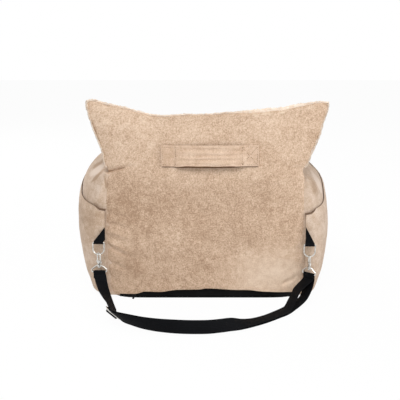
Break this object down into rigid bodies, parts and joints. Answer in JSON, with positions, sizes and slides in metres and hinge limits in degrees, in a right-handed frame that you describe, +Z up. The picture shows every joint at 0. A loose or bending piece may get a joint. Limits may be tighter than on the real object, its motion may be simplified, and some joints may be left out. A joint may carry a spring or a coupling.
{
  "type": "dog car seat",
  "caption": "Padded tub seat for a dog with a high pillow back, rolled sides, a lift-out cushion, a belt band across the back and a clip-on webbing strap.",
  "frame": {"origin": "middle of the flat underside", "axes": "+Z up, +Y towards the front edge that the dog looks over, +X to the seat's side that shows on the right when its back is looked at"},
  "size_m": [0.5498, 0.6949, 0.405],
  "materials": {
    "speckled_suede": "short-napped suede cloth with fine speckles",
    "suede": "smooth short-napped suede cloth",
    "plush": "deep soft plush",
    "black_cloth": "plain woven black cloth",
    "webbing": "ribbed black webbing",
    "foam": "soft open filling",
    "board": "pressed fibre board",
    "black_metal": "black enamel",
    "nickel": "bright nickel plate"
  },
  "bodies": {
    "seat": {"base_cover": "black_cloth", "base_board": "board", "floor_foam": "foam", "floor_lining": "suede", "rear_cover": "speckled_suede", "back_plush": "plush", "back_filling": "foam", "front_cover": "suede", "front_filling": "foam", "front_panel": "suede", "arm_cover_left": "suede", "arm_cover_right": "suede", "arm_filling_left": "foam", "arm_filling_right": "foam", "side_pocket_left": "suede", "side_pocket_right": "suede", "tab_left": "webbing", "tab_right": "webbing", "belt_band": "suede", "zip_tape": "black_cloth", "zip_chain": "webbing"},
    "seat_cushion": {"cushion_cover": "plush", "cushion_base": "black_cloth", "cushion_foam": "foam"},
    "zip_runner": {"zip_slider": "black_metal"},
    "zip_puller": {"zip_pull": "black_metal"},
    "strap": {"strap_single": "webbing", "strap_double": "webbing", "strap_loop_left": "nickel", "strap_loop_right": "nickel"},
    "ring_left": {"d_ring_left": "nickel"},
    "ring_right": {"d_ring_right": "nickel"},
    "glide": {"adjuster": "nickel", "strap_feed": "webbing", "strap_sewn_end": "webbing"},
    "snap_left": {"hook_left": "nickel", "gate_pin_left": "nickel"},
    "snap_right": {"hook_right": "nickel", "gate_pin_right": "nickel"},
    "gate_left": {"hook_gate_left": "nickel"},
    "gate_right": {"hook_gate_right": "nickel"}
  },
  "joints": [
    {"name": "cushion_lift", "type": "slide", "parent": "seat", "child": "seat_cushion", "axis": [0, 0, 1], "range_m": [0, 0.3]},
    {"name": "zip_run", "type": "slide", "parent": "seat", "child": "zip_runner", "axis": [1, 0, 0], "range_m": [0, 0.32]},
    {"name": "zip_pull_turn", "type": "hinge", "parent": "zip_runner", "child": "zip_puller", "pos_m": [-0.15, -0.2425, 0.0015], "axis": [-1, 0, 0], "range_deg": [0, 60]},
    {"name": "strap_swing", "type": "hinge", "parent": "seat", "child": "strap", "pos_m": [-0.0025, -0.2527, 0.1187], "axis": [-0.9999, 0, 0.0115], "range_deg": [0, 100]},
    {"name": "ring_left_turn", "type": "hinge", "parent": "seat", "child": "ring_left", "pos_m": [-0.219, -0.2527, 0.1212], "axis": [-0.9999, 0, 0.0115], "range_deg": [0, 100]},
    {"name": "ring_right_turn", "type": "hinge", "parent": "seat", "child": "ring_right", "pos_m": [0.214, -0.2527, 0.1162], "axis": [-0.9999, 0, 0.0115], "range_deg": [0, 100]},
    {"name": "adjuster_slide", "type": "slide", "parent": "strap", "child": "glide", "axis": [0.3026, -0.9525, -0.0352], "range_m": [-0.008, 0.008], "deforming": ["strap_feed", "strap_sewn_end"]},
    {"name": "hook_left_swivel", "type": "hinge", "parent": "strap", "child": "snap_left", "pos_m": [-0.219, -0.2527, 0.07295], "axis": [0, 0, 1], "range_deg": [-80, 0]},
    {"name": "hook_right_swivel", "type": "hinge", "parent": "strap", "child": "snap_right", "pos_m": [0.214, -0.2527, 0.06795], "axis": [0, 0, 1], "range_deg": [-45, 35]},
    {"name": "gate_left_turn", "type": "hinge", "parent": "snap_left", "child": "gate_left", "pos_m": [-0.21579, -0.25653, 0.08135], "axis": [-0.766, -0.6428, 0], "range_deg": [0, 22], "stiffness_Nm_per_rad": 0.02, "springref_deg": -20.05},
    {"name": "gate_right_turn", "type": "hinge", "parent": "snap_right", "child": "gate_right", "pos_m": [0.21444, -0.25768, 0.07635], "axis": [-0.9962, -0.0872, 0], "range_deg": [0, 22], "stiffness_Nm_per_rad": 0.02, "springref_deg": -20.05}
  ],
  "couplings": [
    {"joint": "ring_left_turn", "follows": "strap_swing", "ratio": 1},
    {"joint": "ring_right_turn", "follows": "strap_swing", "ratio": 1}
  ]
}
